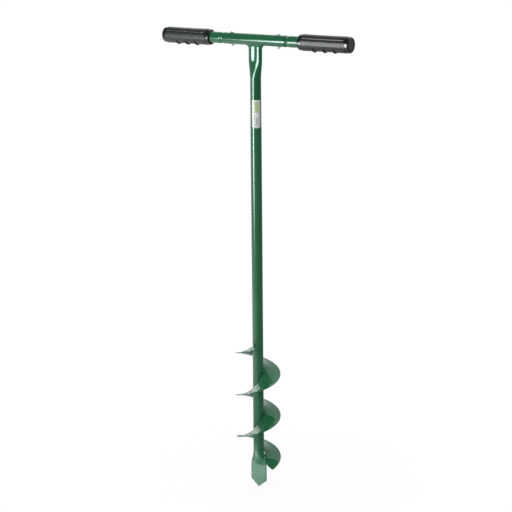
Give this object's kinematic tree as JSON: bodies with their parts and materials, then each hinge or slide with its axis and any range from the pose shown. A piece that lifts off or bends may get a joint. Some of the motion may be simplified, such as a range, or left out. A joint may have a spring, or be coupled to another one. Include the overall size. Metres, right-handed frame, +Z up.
{
  "type": "soil auger",
  "caption": "Hand soil auger: tube shaft with dished right-hand screw flights and a pressed spade point, under a T-handle with bolted arms and moulded grips.",
  "frame": {"origin": "the tip of the spade point, on the shaft's axis", "axes": "+Z up the shaft to the handle, X along the handle with the right arm at +X, the broad face of the spade towards -Y"},
  "size_m": [0.46, 0.1, 1.0313],
  "materials": {
    "enamel": "glossy green enamel on steel",
    "grip": "satin black moulded grip",
    "zinc": "bright zinc plating"
  },
  "bodies": {
    "root": {"shaft": "enamel", "upper_flight": "enamel", "middle_flight": "enamel", "lower_flight": "enamel", "crossbar": "enamel", "crossbar_weld": "enamel", "left_arm": "enamel", "right_arm": "enamel", "left_grip": "grip", "right_grip": "grip", "left_bolt": "zinc", "right_bolt": "zinc", "left_nut": "zinc", "right_nut": "zinc"}
  },
  "joints": []
}
